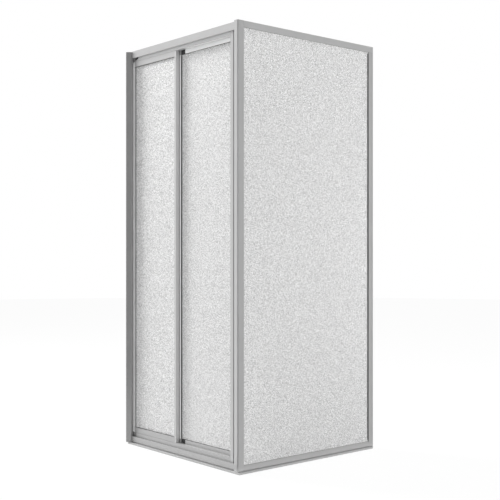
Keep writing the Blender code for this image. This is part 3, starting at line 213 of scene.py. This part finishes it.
def satin_aluminium(name, along, dark="BCBCBC", light="C0C0C0", metallic=0.7):
    """along is the world axis that the bar and its die lines run in."""
    metal = new_material(name)
    place = add(metal, "ShaderNodeTexCoord")
    stretch = [1.0, 1.0, 1.0]
    stretch[along] = STREAK_SHRINK_ALONG
    lines = add(metal, "ShaderNodeMapping", Scale=stretch, links=[
        ("Vector", place.outputs["Object"])])
    streak = add(metal, "ShaderNodeTexNoise", Scale=1000.0 / STREAK_MM, Detail=2.0, links=[
        ("Vector", lines.outputs[0])])
    cloud = add(metal, "ShaderNodeTexNoise", Scale=1000.0 / CLOUD_MM, Detail=2.0, links=[
        ("Vector", place.outputs["Object"])])
    both_marks = add(
        metal, "ShaderNodeMath", operation="MULTIPLY_ADD", values=[(1, STREAK_SHARE)],
        links=[(0, streak.outputs["Fac"]), (2, cloud.outputs["Fac"])],
    )
    tone = add(metal, "ShaderNodeMapRange", From_Min=0.6, From_Max=1.2, links=[
        ("Value", both_marks.outputs[0])])
    colour = add(
        metal, "ShaderNodeMix", data_type="RGBA", values=[(6, linear(dark)), (7, linear(light))],
        links=[(0, tone.outputs[0])],
    )
    rough = add(metal, "ShaderNodeMapRange", To_Min=0.29, To_Max=0.32, links=[
        ("Value", tone.outputs[0])])
    relief = add(metal, "ShaderNodeBump", Strength=0.05, Distance=0.00001, links=[
        ("Height", streak.outputs["Fac"])])
    dress(metal, colour, rough, relief).inputs["Metallic"].default_value = metallic
    return metal


def finish_nodes(material, *names):
    for name in names:
        for place in range(len(node[name].material_slots)):
            node[name].material_slots[place].material = material


finish_nodes(
    satin_aluminium("Anodised aluminium, upright", UPRIGHT), "corner_post", "side_wall_stile",
    "side_wall_channel", "door_wall_jamb", "door_corner_jamb", "leaf_front_stile",
    "leaf_rear_stile",
)
# These two look flatter in the photograph than the other bars, so they reflect less, and their
# darker greys are painted shade.
finish_nodes(
    satin_aluminium("Anodised aluminium, centre stile", UPRIGHT, "B4B4B4", "B8B8B8", 0.15),
    "fixed_centre_stile",
)
# The wall profile's dark grey is painted shade, for its face that looks towards the dark room.
finish_nodes(
    satin_aluminium("Anodised aluminium, wall profile, painted shade", UPRIGHT, "8E8E8E", "929292", 0.35),
    "door_wall_profile",
)


# Header: the top track with its deep fascia, the rails that hang in it, and the strip that closes
# the fixed pane's channel, all satin anodised. The strip and the leaf's rail are toned up, because
# they lie in the fascia's shadow and show bright in the photograph even so.

finish_nodes(
    satin_aluminium("Anodised aluminium, header", ACROSS), "header_track", "fixed_top_rail",
)
finish_nodes(
    satin_aluminium("Anodised aluminium, leaf and covers", ACROSS, "E2E2E2", "E6E6E6"),
    "leaf_top_rail", "header_cover_strip",
)


# Sill: the bottom track, the rails that stand over it and its snap-in strip, of the same satin
# aluminium. They are toned down to the photograph's greyer foot as painted shade, and the strip is
# a matt one.

finish_nodes(
    satin_aluminium("Anodised aluminium, sill", ACROSS, "B0B0B0", "B4B4B4"), "sill_track",
    "fixed_bottom_rail",
)
finish_nodes(
    satin_aluminium("Anodised aluminium, leaf foot", ACROSS, "B4B4B4", "B8B8B8"),
    "leaf_bottom_rail",
)
finish_nodes(
    satin_aluminium("Etched aluminium, sill cover", ACROSS, "B2B2B2", "B6B6B6", 0.2),
    "sill_cover_strip",
)


# Side panel rails: the same satin bar above and below the pane, butted between the uprights. The
# top rail is toned lighter than the foot, as painted light.

finish_nodes(
    satin_aluminium("Anodised aluminium, side rail", INWARD, "C2C2C2", "C6C6C6"), "side_top_rail",
)
finish_nodes(
    satin_aluminium("Anodised aluminium, side foot", INWARD), "side_bottom_rail",
)


# Base strips: low aluminium angles that cover the joint with the tray, mitred at the corner.
# They show no gloss in the photograph, so their finish is an etched, matt one, and their dark grey
# is painted shade at the foot.

finish_nodes(
    satin_aluminium("Etched aluminium, door foot, painted shade", ACROSS, "A6A6A6", "AAAAAA", 0.2),
    "door_base_strip",
)
finish_nodes(
    satin_aluminium("Etched aluminium, side foot, painted shade", INWARD, "A6A6A6", "AAAAAA", 0.2),
    "side_base_strip",
)


# Panes: 4 mm safety glass with a pebbled face, which scatters the light so that no outline shows
# through it and it looks a soft pearl white. The gaskets hold it in the bars.

# The pebbles are about 3 mm across and touch one another, as drops on the pane would. Each lets
# a little more or less light through, which gives the pane its fine speckle.
PEBBLE_MM = 3.2
SPECKLE_MM = 2.6
GLASS_IOR = 1.5
CLEAR_SHARE = 0.2


def grained_glass(name):
    glass = new_material(name)
    place = add(glass, "ShaderNodeTexCoord")
    pebble = add(
        glass, "ShaderNodeTexVoronoi", feature="SMOOTH_F1", Scale=1000.0 / PEBBLE_MM,
        links=[("Vector", place.outputs["Object"])],
    )
    speckle = add(glass, "ShaderNodeTexNoise", Scale=1000.0 / SPECKLE_MM, Detail=1.0, links=[
        ("Vector", place.outputs["Object"])])
    shade = add(glass, "ShaderNodeMapRange", From_Min=0.29, From_Max=0.66, links=[
        ("Value", speckle.outputs["Fac"])])
    colour = add(
        glass, "ShaderNodeMix", data_type="RGBA",
        values=[(6, linear("6E6E6E")), (7, linear("FFFFFF"))], links=[(0, shade.outputs[0])],
    )
    relief = add(glass, "ShaderNodeBump", Strength=0.35, Distance=0.0006, links=[
        ("Height", pebble.outputs["Distance"])])
    rough = add(glass, "ShaderNodeMapRange", To_Min=0.42, To_Max=0.55, links=[
        ("Value", speckle.outputs["Fac"])])
    shader = dress(glass, colour, rough, relief)
    shader.inputs["IOR"].default_value = GLASS_IOR
    shader.inputs["Transmission Weight"].default_value = CLEAR_SHARE
    return glass


finish_nodes(grained_glass("Grained safety glass"), "side_glass", "fixed_glass", "leaf_glass")


# Gaskets and stops: black EPDM rubber, extruded, with a dull bloom. The side panel's gasket is
# the grey one of the same kind, so that it hardly shows beside the bars.

RUBBER_EDGE = 0.0012


def plain_finish(name, dark, light, rough_low, rough_high, grain_mm, depth, metallic=0.0):
    """A moulded or extruded finish whose tone and relief vary over grains of one size."""
    stuff = new_material(name)
    place = add(stuff, "ShaderNodeTexCoord")
    grain = add(stuff, "ShaderNodeTexNoise", Scale=1000.0 / grain_mm, Detail=3.0, links=[
        ("Vector", place.outputs["Object"])])
    colour = add(
        stuff, "ShaderNodeMix", data_type="RGBA", values=[(6, linear(dark)), (7, linear(light))],
        links=[(0, grain.outputs["Fac"])],
    )
    rough = add(stuff, "ShaderNodeMapRange", To_Min=rough_low, To_Max=rough_high, links=[
        ("Value", grain.outputs["Fac"])])
    relief = add(stuff, "ShaderNodeBump", Strength=0.2, Distance=depth, links=[
        ("Height", grain.outputs["Fac"])])
    dress(stuff, colour, rough, relief).inputs["Metallic"].default_value = metallic
    return stuff


def begin():
    """An operator acts on all that is selected, so nothing is when a piece is begun."""
    if bpy.context.mode != "OBJECT":
        bpy.ops.object.mode_set(mode="OBJECT")
    bpy.ops.object.select_all(action="DESELECT")


def apply_modifier(piece, kind, **settings):
    bpy.context.view_layer.objects.active = piece
    modifier = piece.modifiers.new("Shape", kind)
    for name, value in settings.items():
        setattr(modifier, name, value)
    bpy.ops.object.modifier_apply(modifier=modifier.name)


def finish_piece(piece, name, material, slot, body, *replaced):
    """Brings a piece into the frame with its place in its mesh, its finish and its body."""
    begin()
    piece.select_set(True)
    bpy.context.view_layer.objects.active = piece
    bpy.ops.object.transform_apply(location=True, rotation=True, scale=True)
    bpy.ops.object.shade_smooth_by_angle(angle=math.radians(35))
    piece.name = name
    piece.data.name = name
    piece.data.materials.clear()
    piece.data.materials.append(material)
    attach(piece, body)
    if replaced:
        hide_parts(*replaced)


def rounded(name, new_name, width, material, slot, body):
    """The node's own form, with the small radius that a tool leaves on its edges."""
    begin()
    piece = bpy.data.objects.new(new_name, node[name].data.copy())
    bpy.context.scene.collection.objects.link(piece)
    piece.select_set(True)
    bpy.context.view_layer.objects.active = piece
    bpy.ops.object.mode_set(mode="EDIT")
    bpy.ops.mesh.select_all(action="SELECT")
    bpy.ops.mesh.remove_doubles(threshold=0.00001)
    bpy.ops.mesh.dissolve_limited(angle_limit=math.radians(1))
    bpy.ops.object.mode_set(mode="OBJECT")
    apply_modifier(
        piece, "BEVEL", width=width, segments=2, limit_method="ANGLE",
        angle_limit=math.radians(40),
    )
    finish_piece(piece, new_name, material, slot, body, name)


rubber = plain_finish("Extruded black rubber", "2A2B2C", "3A3B3C", 0.62, 0.8, 2.0, 0.0001)
finish_nodes(rubber, "fixed_gasket", "leaf_gasket")
grey_rubber = plain_finish("Extruded grey rubber", "8C8C8C", "9A9A9A", 0.6, 0.75, 2.0, 0.0001)
finish_nodes(grey_rubber, "side_gasket")
rounded("top_buffer", "top_stop", RUBBER_EDGE, rubber, "dark_rubber", "fixed_frame")
rounded("bottom_buffer", "bottom_stop", RUBBER_EDGE, rubber, "dark_rubber", "fixed_frame")


# Corner carriers: black glass-filled nylon, injection moulded with a fine spark texture and small
# radii. Each plugs into the end of a leaf stile and holds a roller on its arm.

LEAF_CORNERS = [("top", "front"), ("top", "rear"), ("bottom", "front"), ("bottom", "rear")]
NYLON_EDGE = 0.0005

black_nylon = plain_finish("Moulded black nylon", "161617", "242425", 0.4, 0.55, 0.9, 0.00015)
for level, end in LEAF_CORNERS:
    rounded(
        f"{level}_carrier_{end}", f"{level}_corner_block_{end}", NYLON_EDGE, black_nylon,
        "black_nylon", "sliding_leaf",
    )


# Post cap: grey polypropylene, moulded, pressed into the top of the corner post. Its face is
# finely grained, so it is a little duller than the bars.

CAP_EDGE = 0.0008

grey_plastic = plain_finish("Grey moulded plastic", "A4A4A4", "B4B4B4", 0.42, 0.55, 1.2, 0.0001)
rounded("corner_post_cap", "post_top_cap", CAP_EDGE, grey_plastic, "grey_plastic", "fixed_frame")


# Axles: stainless steel pins, turned and tumbled, so a little bright, and pressed into the
# carriers' arms. The screws and bearings have the same finish.

STEEL_EDGE = 0.0003

steel = plain_finish("Turned stainless steel", "A8A8A8", "BEBEBE", 0.25, 0.36, 1.5, 0.00005, 1.0)
for level, end in LEAF_CORNERS:
    rounded(
        f"{level}_axle_{end}", f"{level}_pin_{end}", STEEL_EDGE, steel, "stainless_steel",
        "sliding_leaf",
    )


# Rollers: acetal tyres with a groove that runs on the track's bead, each pressed on a small
# steel bearing, whose inner ring sits on the pin. Round pockets save material in the tyre.

TYRE_EDGE = 0.0006
GROOVE_DEEP = 0.0012
GROOVE_HALF_WIDE = 0.0022
GROOVE_HALF_FLAT = 0.0006
RACE_SHARE = 0.52
RACE_PLAY = 0.00002
BEARING_INSET = 0.0008
SHIELD_GROOVE_DEEP = 0.0006
SHIELD_GROOVE_HALF = 0.0004
PIN_BORE = 0.00225
POCKETS = 6
POCKET_SHARE = 0.2
POCKET_CUT = 0.003


def turned_ring(outline):
    """Spins an outline of (radius, along) points once round the Z axis, as one closed skin."""
    begin()
    bpy.ops.mesh.primitive_circle_add(vertices=len(outline), radius=0.01)
    piece = bpy.context.object
    for corner, (radius, along) in zip(piece.data.vertices, outline):
        corner.co = (radius, 0.0, along)
    bpy.ops.object.mode_set(mode="EDIT")
    bpy.ops.mesh.select_all(action="SELECT")
    bpy.ops.mesh.spin(
        steps=48, angle=2 * math.pi, center=(0, 0, 0), axis=(0, 0, 1), use_auto_merge=True,
    )
    bpy.ops.mesh.select_all(action="SELECT")
    bpy.ops.mesh.remove_doubles(threshold=0.000005)
    bpy.ops.mesh.normals_make_consistent(inside=False)
    bpy.ops.object.mode_set(mode="OBJECT")
    return piece


def cut_away(piece, cutter):
    apply_modifier(piece, "BOOLEAN", operation="DIFFERENCE", object=cutter)
    bpy.data.objects.remove(cutter)


def middle_of(name):
    return [(a + b) / 2 for a, b in zip(*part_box(name))]


acetal = plain_finish("Moulded acetal", "B4B4B4", "C6C6C6", 0.3, 0.42, 1.5, 0.00005)
for level, end in LEAF_CORNERS:
    roller = f"{level}_roller_{end}"
    low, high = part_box(roller)
    flange = (high[0] - low[0]) / 2
    half = (high[1] - low[1]) / 2
    groove = flange - GROOVE_DEEP
    race = flange * RACE_SHARE
    tyre = turned_ring([
        (race, -half + TYRE_EDGE), (race + TYRE_EDGE, -half), (flange - TYRE_EDGE, -half),
        (flange, -half + TYRE_EDGE), (flange, -GROOVE_HALF_WIDE), (groove, -GROOVE_HALF_FLAT),
        (groove, GROOVE_HALF_FLAT), (flange, GROOVE_HALF_WIDE), (flange, half - TYRE_EDGE),
        (flange - TYRE_EDGE, half), (race + TYRE_EDGE, half), (race, half - TYRE_EDGE),
    ])
    # The pockets are cut part of the way in from both faces.
    reach = (race + groove) / 2
    for number in range(POCKETS):
        angle = 2 * math.pi * number / POCKETS
        for side in (-1, 1):
            begin()
            bpy.ops.mesh.primitive_cylinder_add(
                vertices=16, radius=(flange - race) * POCKET_SHARE, depth=POCKET_CUT,
                location=(reach * math.cos(angle), reach * math.sin(angle), side * half),
            )
            cut_away(tyre, bpy.context.object)
    shield = (PIN_BORE + race) / 2
    inner, outer = shield - SHIELD_GROOVE_HALF, shield + SHIELD_GROOVE_HALF
    face = half - BEARING_INSET
    floor_of_groove = face - SHIELD_GROOVE_DEEP
    rim = race - RACE_PLAY
    bearing = turned_ring([
        (PIN_BORE, -face), (inner, -face), (inner, -floor_of_groove), (outer, -floor_of_groove),
        (outer, -face), (rim, -face), (rim, face), (outer, face), (outer, floor_of_groove),
        (inner, floor_of_groove), (inner, face), (PIN_BORE, face),
    ])
    for piece in (tyre, bearing):
        piece.rotation_euler = (math.pi / 2, 0, 0)
        piece.location = middle_of(roller)
    finish_piece(tyre, f"{level}_tyre_{end}", acetal, "grey_nylon", roller, roller)
    finish_piece(bearing, f"{level}_bearing_{end}", steel, "stainless_steel", roller)


# Screws: pan-head self-tapping screws of stainless steel with a cross recess. Two hold the wall
# profile's nose, and three in each upright hold a wall profile to its jamb or stile.

# Head radius, head height, shank radius and shank length, in metres.
NOSE_SCREW = (0.0022, 0.0012, 0.0014, 0.0056)
PROFILE_SCREW = (0.0036, 0.0020, 0.0016, 0.0031)


def pick(piece, test):
    """Selects in edit mode the faces whose middle and normal pass the test."""
    bpy.ops.mesh.select_mode(type="FACE")
    bpy.ops.mesh.select_all(action="DESELECT")
    mesh = bmesh.from_edit_mesh(piece.data)
    for face in mesh.faces:
        face.select_set(test(face.calc_center_median(), face.normal))
    bmesh.update_edit_mesh(piece.data)


def pan_screw(name, seat, turn, radius, height, shank, length):
    """seat is the middle of the head's underside, and turn brings its axis from +Z."""
    piece = turned_ring([
        (0.0, height), (radius * 0.45, height), (radius * 0.8, height * 0.82),
        (radius * 0.97, height * 0.45), (radius, 0.0), (shank, 0.0), (shank, -length * 0.8),
        (shank * 0.4, -length), (0.0, -length),
    ])
    for quarter in (0, math.pi / 2):
        begin()
        bpy.ops.mesh.primitive_cube_add(size=1, location=(0, 0, height))
        blade = bpy.context.object
        blade.scale = (radius * 1.15, radius * 0.24, height * 1.1)
        blade.rotation_euler = (0, 0, quarter)
        bpy.ops.object.transform_apply(location=True, rotation=True, scale=True)
        bpy.ops.object.mode_set(mode="EDIT")
        pick(blade, lambda middle, normal: normal.z < -0.5)
        bpy.ops.transform.resize(value=(0.35, 0.35, 1))
        bpy.ops.object.mode_set(mode="OBJECT")
        cut_away(piece, blade)
    piece.rotation_euler = turn
    piece.location = seat
    new_name = name.replace("screw", "fixing")
    finish_piece(piece, new_name, steel, "stainless_steel", "fixed_frame", name)


for name in ("nose_screw_top", "nose_screw_bottom"):
    x, y, z = middle_of(name)
    head_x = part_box(name)[1][0] - NOSE_SCREW[1]
    pan_screw(name, (head_x, y, z), (0, math.pi / 2, 0), *NOSE_SCREW)
for name in ("door_profile_screw_low", "door_profile_screw_middle", "door_profile_screw_high"):
    x, y, z = middle_of(name)
    head_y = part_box(name)[1][1] - PROFILE_SCREW[1]
    pan_screw(name, (x, head_y, z), (-math.pi / 2, 0, 0), *PROFILE_SCREW)
for name in ("side_channel_screw_low", "side_channel_screw_middle", "side_channel_screw_high"):
    x, y, z = middle_of(name)
    head_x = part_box(name)[0][0] + PROFILE_SCREW[1]
    pan_screw(name, (head_x, y, z), (0, -math.pi / 2, 0), *PROFILE_SCREW)


# Closing seal and magnet strip: soft and hard grey PVC, extruded as a pair that meet when the
# leaf is shut. The seal is a bubble with two side lips, and the strip has a shallow groove.

SEAL_ROOT = 0.0012
SEAL_LIP_HALF = 0.0040
BUBBLE_HALF = 0.0034
BUBBLE_STEPS = 12
STRIP_EDGE = 0.0006
STRIP_GROOVE_DEEP = 0.0008
STRIP_GROOVE_HALF_MOUTH = 0.0025
STRIP_GROOVE_HALF_FLOOR = 0.0018


def upright_strip(outline, low_z, high_z):
    """Extrudes an outline of (x, y) points from one height to another."""
    begin()
    bpy.ops.mesh.primitive_circle_add(vertices=len(outline), radius=0.01, fill_type="NGON")
    piece = bpy.context.object
    for corner, (x, y) in zip(piece.data.vertices, outline):
        corner.co = (x, y, low_z)
    bpy.ops.object.mode_set(mode="EDIT")
    bpy.ops.mesh.select_all(action="SELECT")
    bpy.ops.mesh.extrude_region_move(TRANSFORM_OT_translate={"value": (0, 0, high_z - low_z)})
    bpy.ops.mesh.select_all(action="SELECT")
    bpy.ops.mesh.normals_make_consistent(inside=False)
    bpy.ops.object.mode_set(mode="OBJECT")
    return piece


seal_low, seal_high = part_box("closing_seal")
seal_y = (seal_low[1] + seal_high[1]) / 2
root = seal_high[0] - SEAL_ROOT
bubble = [
    (seal_high[0], seal_low[1]), (seal_high[0], seal_high[1]), (root, seal_high[1]),
    (root, seal_y + SEAL_LIP_HALF),
]
for step in range(BUBBLE_STEPS + 1):
    angle = math.pi * step / BUBBLE_STEPS
    bubble.append((
        root - (root - seal_low[0]) * math.sin(angle), seal_y + BUBBLE_HALF * math.cos(angle),
    ))
bubble += [(root, seal_y - SEAL_LIP_HALF), (root, seal_low[1])]
soft_pvc = plain_finish("Soft grey PVC", "A6A6A6", "B6B6B6", 0.45, 0.6, 2.0, 0.00005)
finish_piece(
    upright_strip(bubble, seal_low[2], seal_high[2]), "bubble_seal", soft_pvc, "grey_plastic",
    "fixed_frame", "closing_seal",
)

strip_low, strip_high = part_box("leaf_magnet_strip")
face, back = strip_high[0], strip_low[0]
strip_y = (strip_low[1] + strip_high[1]) / 2
groove_x = face - STRIP_GROOVE_DEEP
grooved = [
    (back, strip_low[1]), (face - STRIP_EDGE, strip_low[1]), (face, strip_low[1] + STRIP_EDGE),
    (face, strip_y - STRIP_GROOVE_HALF_MOUTH), (groove_x, strip_y - STRIP_GROOVE_HALF_FLOOR),
    (groove_x, strip_y + STRIP_GROOVE_HALF_FLOOR), (face, strip_y + STRIP_GROOVE_HALF_MOUTH),
    (face, strip_high[1] - STRIP_EDGE), (face - STRIP_EDGE, strip_high[1]),
    (back, strip_high[1]),
]
finish_piece(
    upright_strip(grooved, strip_low[2], strip_high[2]), "magnet_profile", grey_plastic,
    "grey_plastic", "sliding_leaf", "leaf_magnet_strip",
)


# Cover strips: light grey PVC, extruded, snapped on the wall jamb's face and on the leaf's rear
# stile, where the brush runs on it. They show as the bright lines beside the two stiles, and their
# pale colour is painted light, for the light on the bars there, which lie in shade.

# From the bar's edge to the strip's near side and far side, and how proud it stands.
JAMB_LIGHT_COVER = (0.0030, 0.0125, 0.0003)
JAMB_LIGHT_COVER_HEIGHTS = (0.0560, 1.7990)
WEAR_AND_LIGHT_STRIP = (0.0045, 0.0110, 0.0002)
WEAR_AND_LIGHT_STRIP_HEIGHTS = (0.0730, 1.7815)


def snapped_strip(edge_x, face_y, near, far, proud):
    """A flat strip's outline with sloped sides, on a face that looks along -Y."""
    return [
        (edge_x - far, face_y), (edge_x - far + proud, face_y - proud),
        (edge_x - near - proud, face_y - proud), (edge_x - near, face_y),
    ]


pale_pvc_painted_light = plain_finish("Extruded pale PVC, painted light", "ECECEC", "F4F4F4", 0.4, 0.5, 3.0, 0.00003)
jamb_low, jamb_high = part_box("door_wall_jamb")
finish_piece(
    upright_strip(snapped_strip(jamb_high[0], jamb_low[1], *JAMB_LIGHT_COVER), *JAMB_LIGHT_COVER_HEIGHTS),
    "jamb_light_cover", pale_pvc_painted_light, "grey_plastic", "fixed_frame",
)
stile_low, stile_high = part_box("leaf_rear_stile")
finish_piece(
    upright_strip(snapped_strip(stile_high[0], stile_low[1], *WEAR_AND_LIGHT_STRIP), *WEAR_AND_LIGHT_STRIP_HEIGHTS),
    "leaf_wear_and_light_strip", pale_pvc_painted_light, "grey_plastic", "sliding_leaf",
)


# Glazing wedges: black rubber lips that show beside the glass, one along the leaf's rear stile and
# one along the side panel's wall stile. Each is pressed in after the pane, and its dark line also
# stands for the shade in the gap there, as painted shade.

# Outlines from the rear stile's outer corner, and from the side pane's face at its wall stile.
LEAF_WEDGE = [(0.0, 0.0003), (0.0004, 0.0006), (0.0006, 0.0046), (0.0, 0.0049)]
LEAF_WEDGE_HEIGHTS = (0.0730, 1.7750)
SIDE_WEDGE = [(0.0001, -0.0045), (0.0004, -0.0048), (0.0024, -0.0003), (0.0001, -0.0001)]
SIDE_WEDGE_HEIGHTS = (0.0400, 1.8160)

finish_piece(
    upright_strip(
        [(stile_high[0] + x, stile_low[1] + y) for x, y in LEAF_WEDGE], *LEAF_WEDGE_HEIGHTS,
    ), "leaf_shade_wedge", rubber, "dark_rubber", "sliding_leaf",
)
pane_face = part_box("side_glass")[1][0]
stile_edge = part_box("side_wall_stile")[0][1]
finish_piece(
    upright_strip(
        [(pane_face + x, stile_edge + y) for x, y in SIDE_WEDGE], *SIDE_WEDGE_HEIGHTS,
    ), "side_shade_wedge", rubber, "dark_rubber", "fixed_frame",
)


# Brush: dark grey polypropylene pile woven into a narrow backing, which slides into the centre
# stile's back. The real tufts stand 1 mm apart and are drawn 3 mm apart.

BACKING_THICK = 0.0006
BACKING_EDGE = 0.0002
TUFT_STEP = 0.003
TUFT_ROWS_APART = 0.0032
TUFT_ROOT = 0.0005
TUFT_TIP = 0.0011
FIRST_TUFT = 0.002
BARE_ENDS = 0.006

brush_low, brush_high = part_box("overlap_brush")
brush_x, brush_y, brush_z = middle_of("overlap_brush")
pile = plain_finish("Grey brush pile", "303030", "525252", 0.85, 0.95, 0.8, 0.0004)
begin()
bpy.ops.mesh.primitive_cube_add(size=1)
backing = bpy.context.object
backing.scale = (brush_high[0] - brush_low[0], BACKING_THICK, brush_high[2] - brush_low[2])
backing.location = (brush_x, brush_low[1] + BACKING_THICK / 2, brush_z)
bpy.ops.object.transform_apply(location=True, rotation=True, scale=True)
apply_modifier(backing, "BEVEL", width=BACKING_EDGE, segments=2)
finish_piece(backing, "brush_backing", pile, "brush_pile", "fixed_frame", "overlap_brush")
begin()
bpy.ops.mesh.primitive_cone_add(
    vertices=5, radius1=TUFT_ROOT, radius2=TUFT_TIP,
    depth=brush_high[1] - brush_low[1] - BACKING_THICK, end_fill_type="NGON",
    rotation=(-math.pi / 2, 0, 0),
    location=(
        brush_x - TUFT_ROWS_APART / 2, brush_y + BACKING_THICK / 2, brush_low[2] + FIRST_TUFT,
    ),
)
tuft = bpy.context.object
bpy.ops.object.transform_apply(location=True, rotation=True, scale=True)
apply_modifier(
    tuft, "ARRAY", count=2, use_relative_offset=False, use_constant_offset=True,
    constant_offset_displace=(TUFT_ROWS_APART, 0, TUFT_STEP / 2),
)
apply_modifier(
    tuft, "ARRAY", count=int((brush_high[2] - brush_low[2] - BARE_ENDS) / TUFT_STEP),
    use_relative_offset=False, use_constant_offset=True,
    constant_offset_displace=(0, 0, TUFT_STEP),
)
finish_piece(tuft, "brush_tufts", pile, "brush_pile", "fixed_frame")
